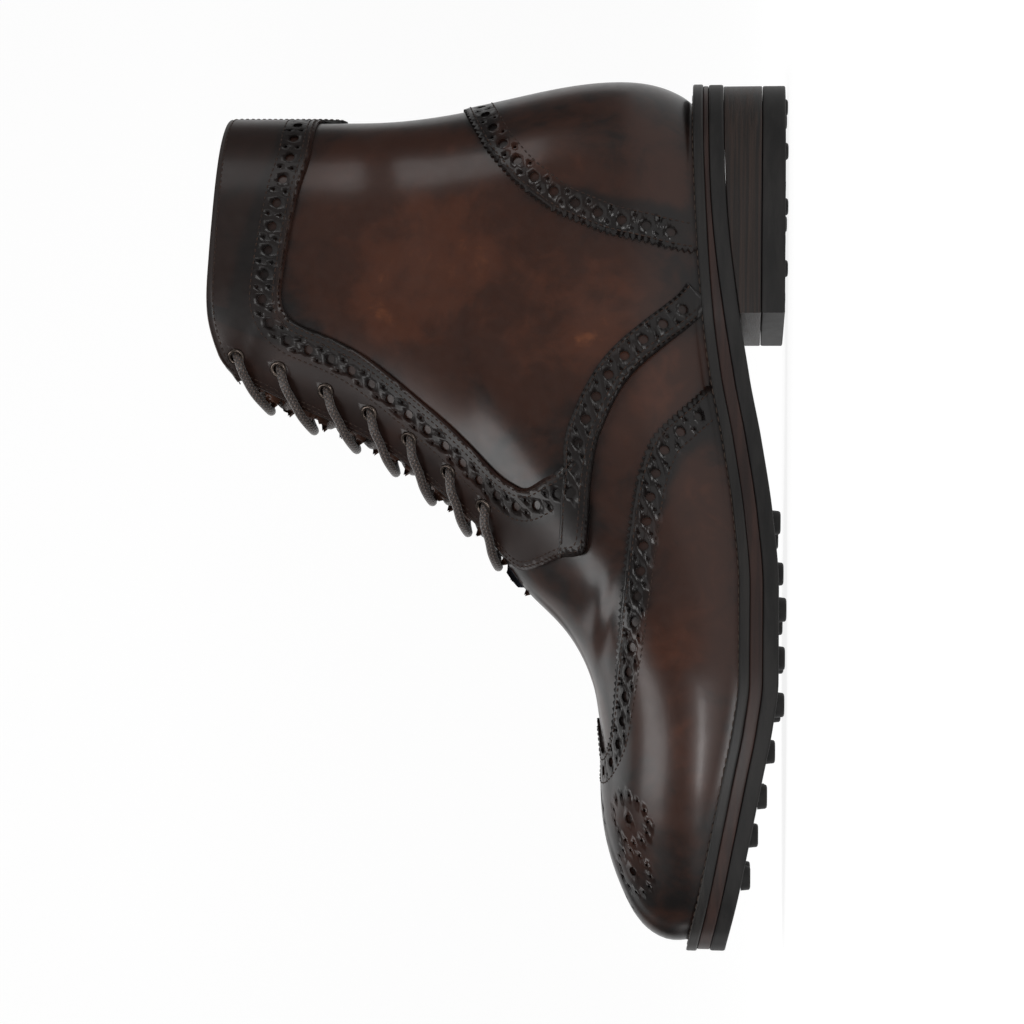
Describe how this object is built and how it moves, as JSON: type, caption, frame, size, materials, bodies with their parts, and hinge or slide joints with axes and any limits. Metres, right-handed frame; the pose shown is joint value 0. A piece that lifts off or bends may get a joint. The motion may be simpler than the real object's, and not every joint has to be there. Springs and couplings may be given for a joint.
{
  "type": "lace-up ankle boot",
  "caption": "Right wingtip brogue ankle boot with open lacing, overlaid leather panels, a hollow upper, a welted studded rubber sole and a stacked heel.",
  "frame": {"origin": "on the floor under the middle of the sole's outline", "axes": "toe towards -Y, heel towards +Y, inner side of the foot towards +X, collar towards +Z"},
  "size_m": [0.1097, 0.3081, 0.2041],
  "materials": {
    "vamp_leather": "burnished",
    "overlay_leather": "burnished",
    "quarter_leather": "burnished",
    "tongue_leather": "semi-gloss",
    "insole_leather": "matte",
    "welt_leather": "waxed",
    "midsole_leather": "waxed",
    "stack_leather": "waxed",
    "sole_rubber": "matte",
    "lace_cord": "waxed",
    "eyelet_metal": "antique"
  },
  "bodies": {
    "root": {"upper": "vamp_leather", "wing_cap": "overlay_leather", "facings_and_collar": "overlay_leather", "heel_counter": "overlay_leather", "quarters": "quarter_leather", "tongue": "tongue_leather", "insole": "insole_leather", "welt": "welt_leather", "midsole": "midsole_leather", "heel_stack": "stack_leather", "outsole": "sole_rubber", "top_lift": "sole_rubber", "lace": "lace_cord", "eyelet_medial_1": "eyelet_metal", "eyelet_medial_2": "eyelet_metal", "eyelet_medial_3": "eyelet_metal", "eyelet_medial_4": "eyelet_metal", "eyelet_medial_5": "eyelet_metal", "eyelet_medial_6": "eyelet_metal", "eyelet_medial_7": "eyelet_metal", "eyelet_lateral_1": "eyelet_metal", "eyelet_lateral_2": "eyelet_metal", "eyelet_lateral_3": "eyelet_metal", "eyelet_lateral_4": "eyelet_metal", "eyelet_lateral_5": "eyelet_metal", "eyelet_lateral_6": "eyelet_metal", "eyelet_lateral_7": "eyelet_metal"}
  },
  "joints": []
}
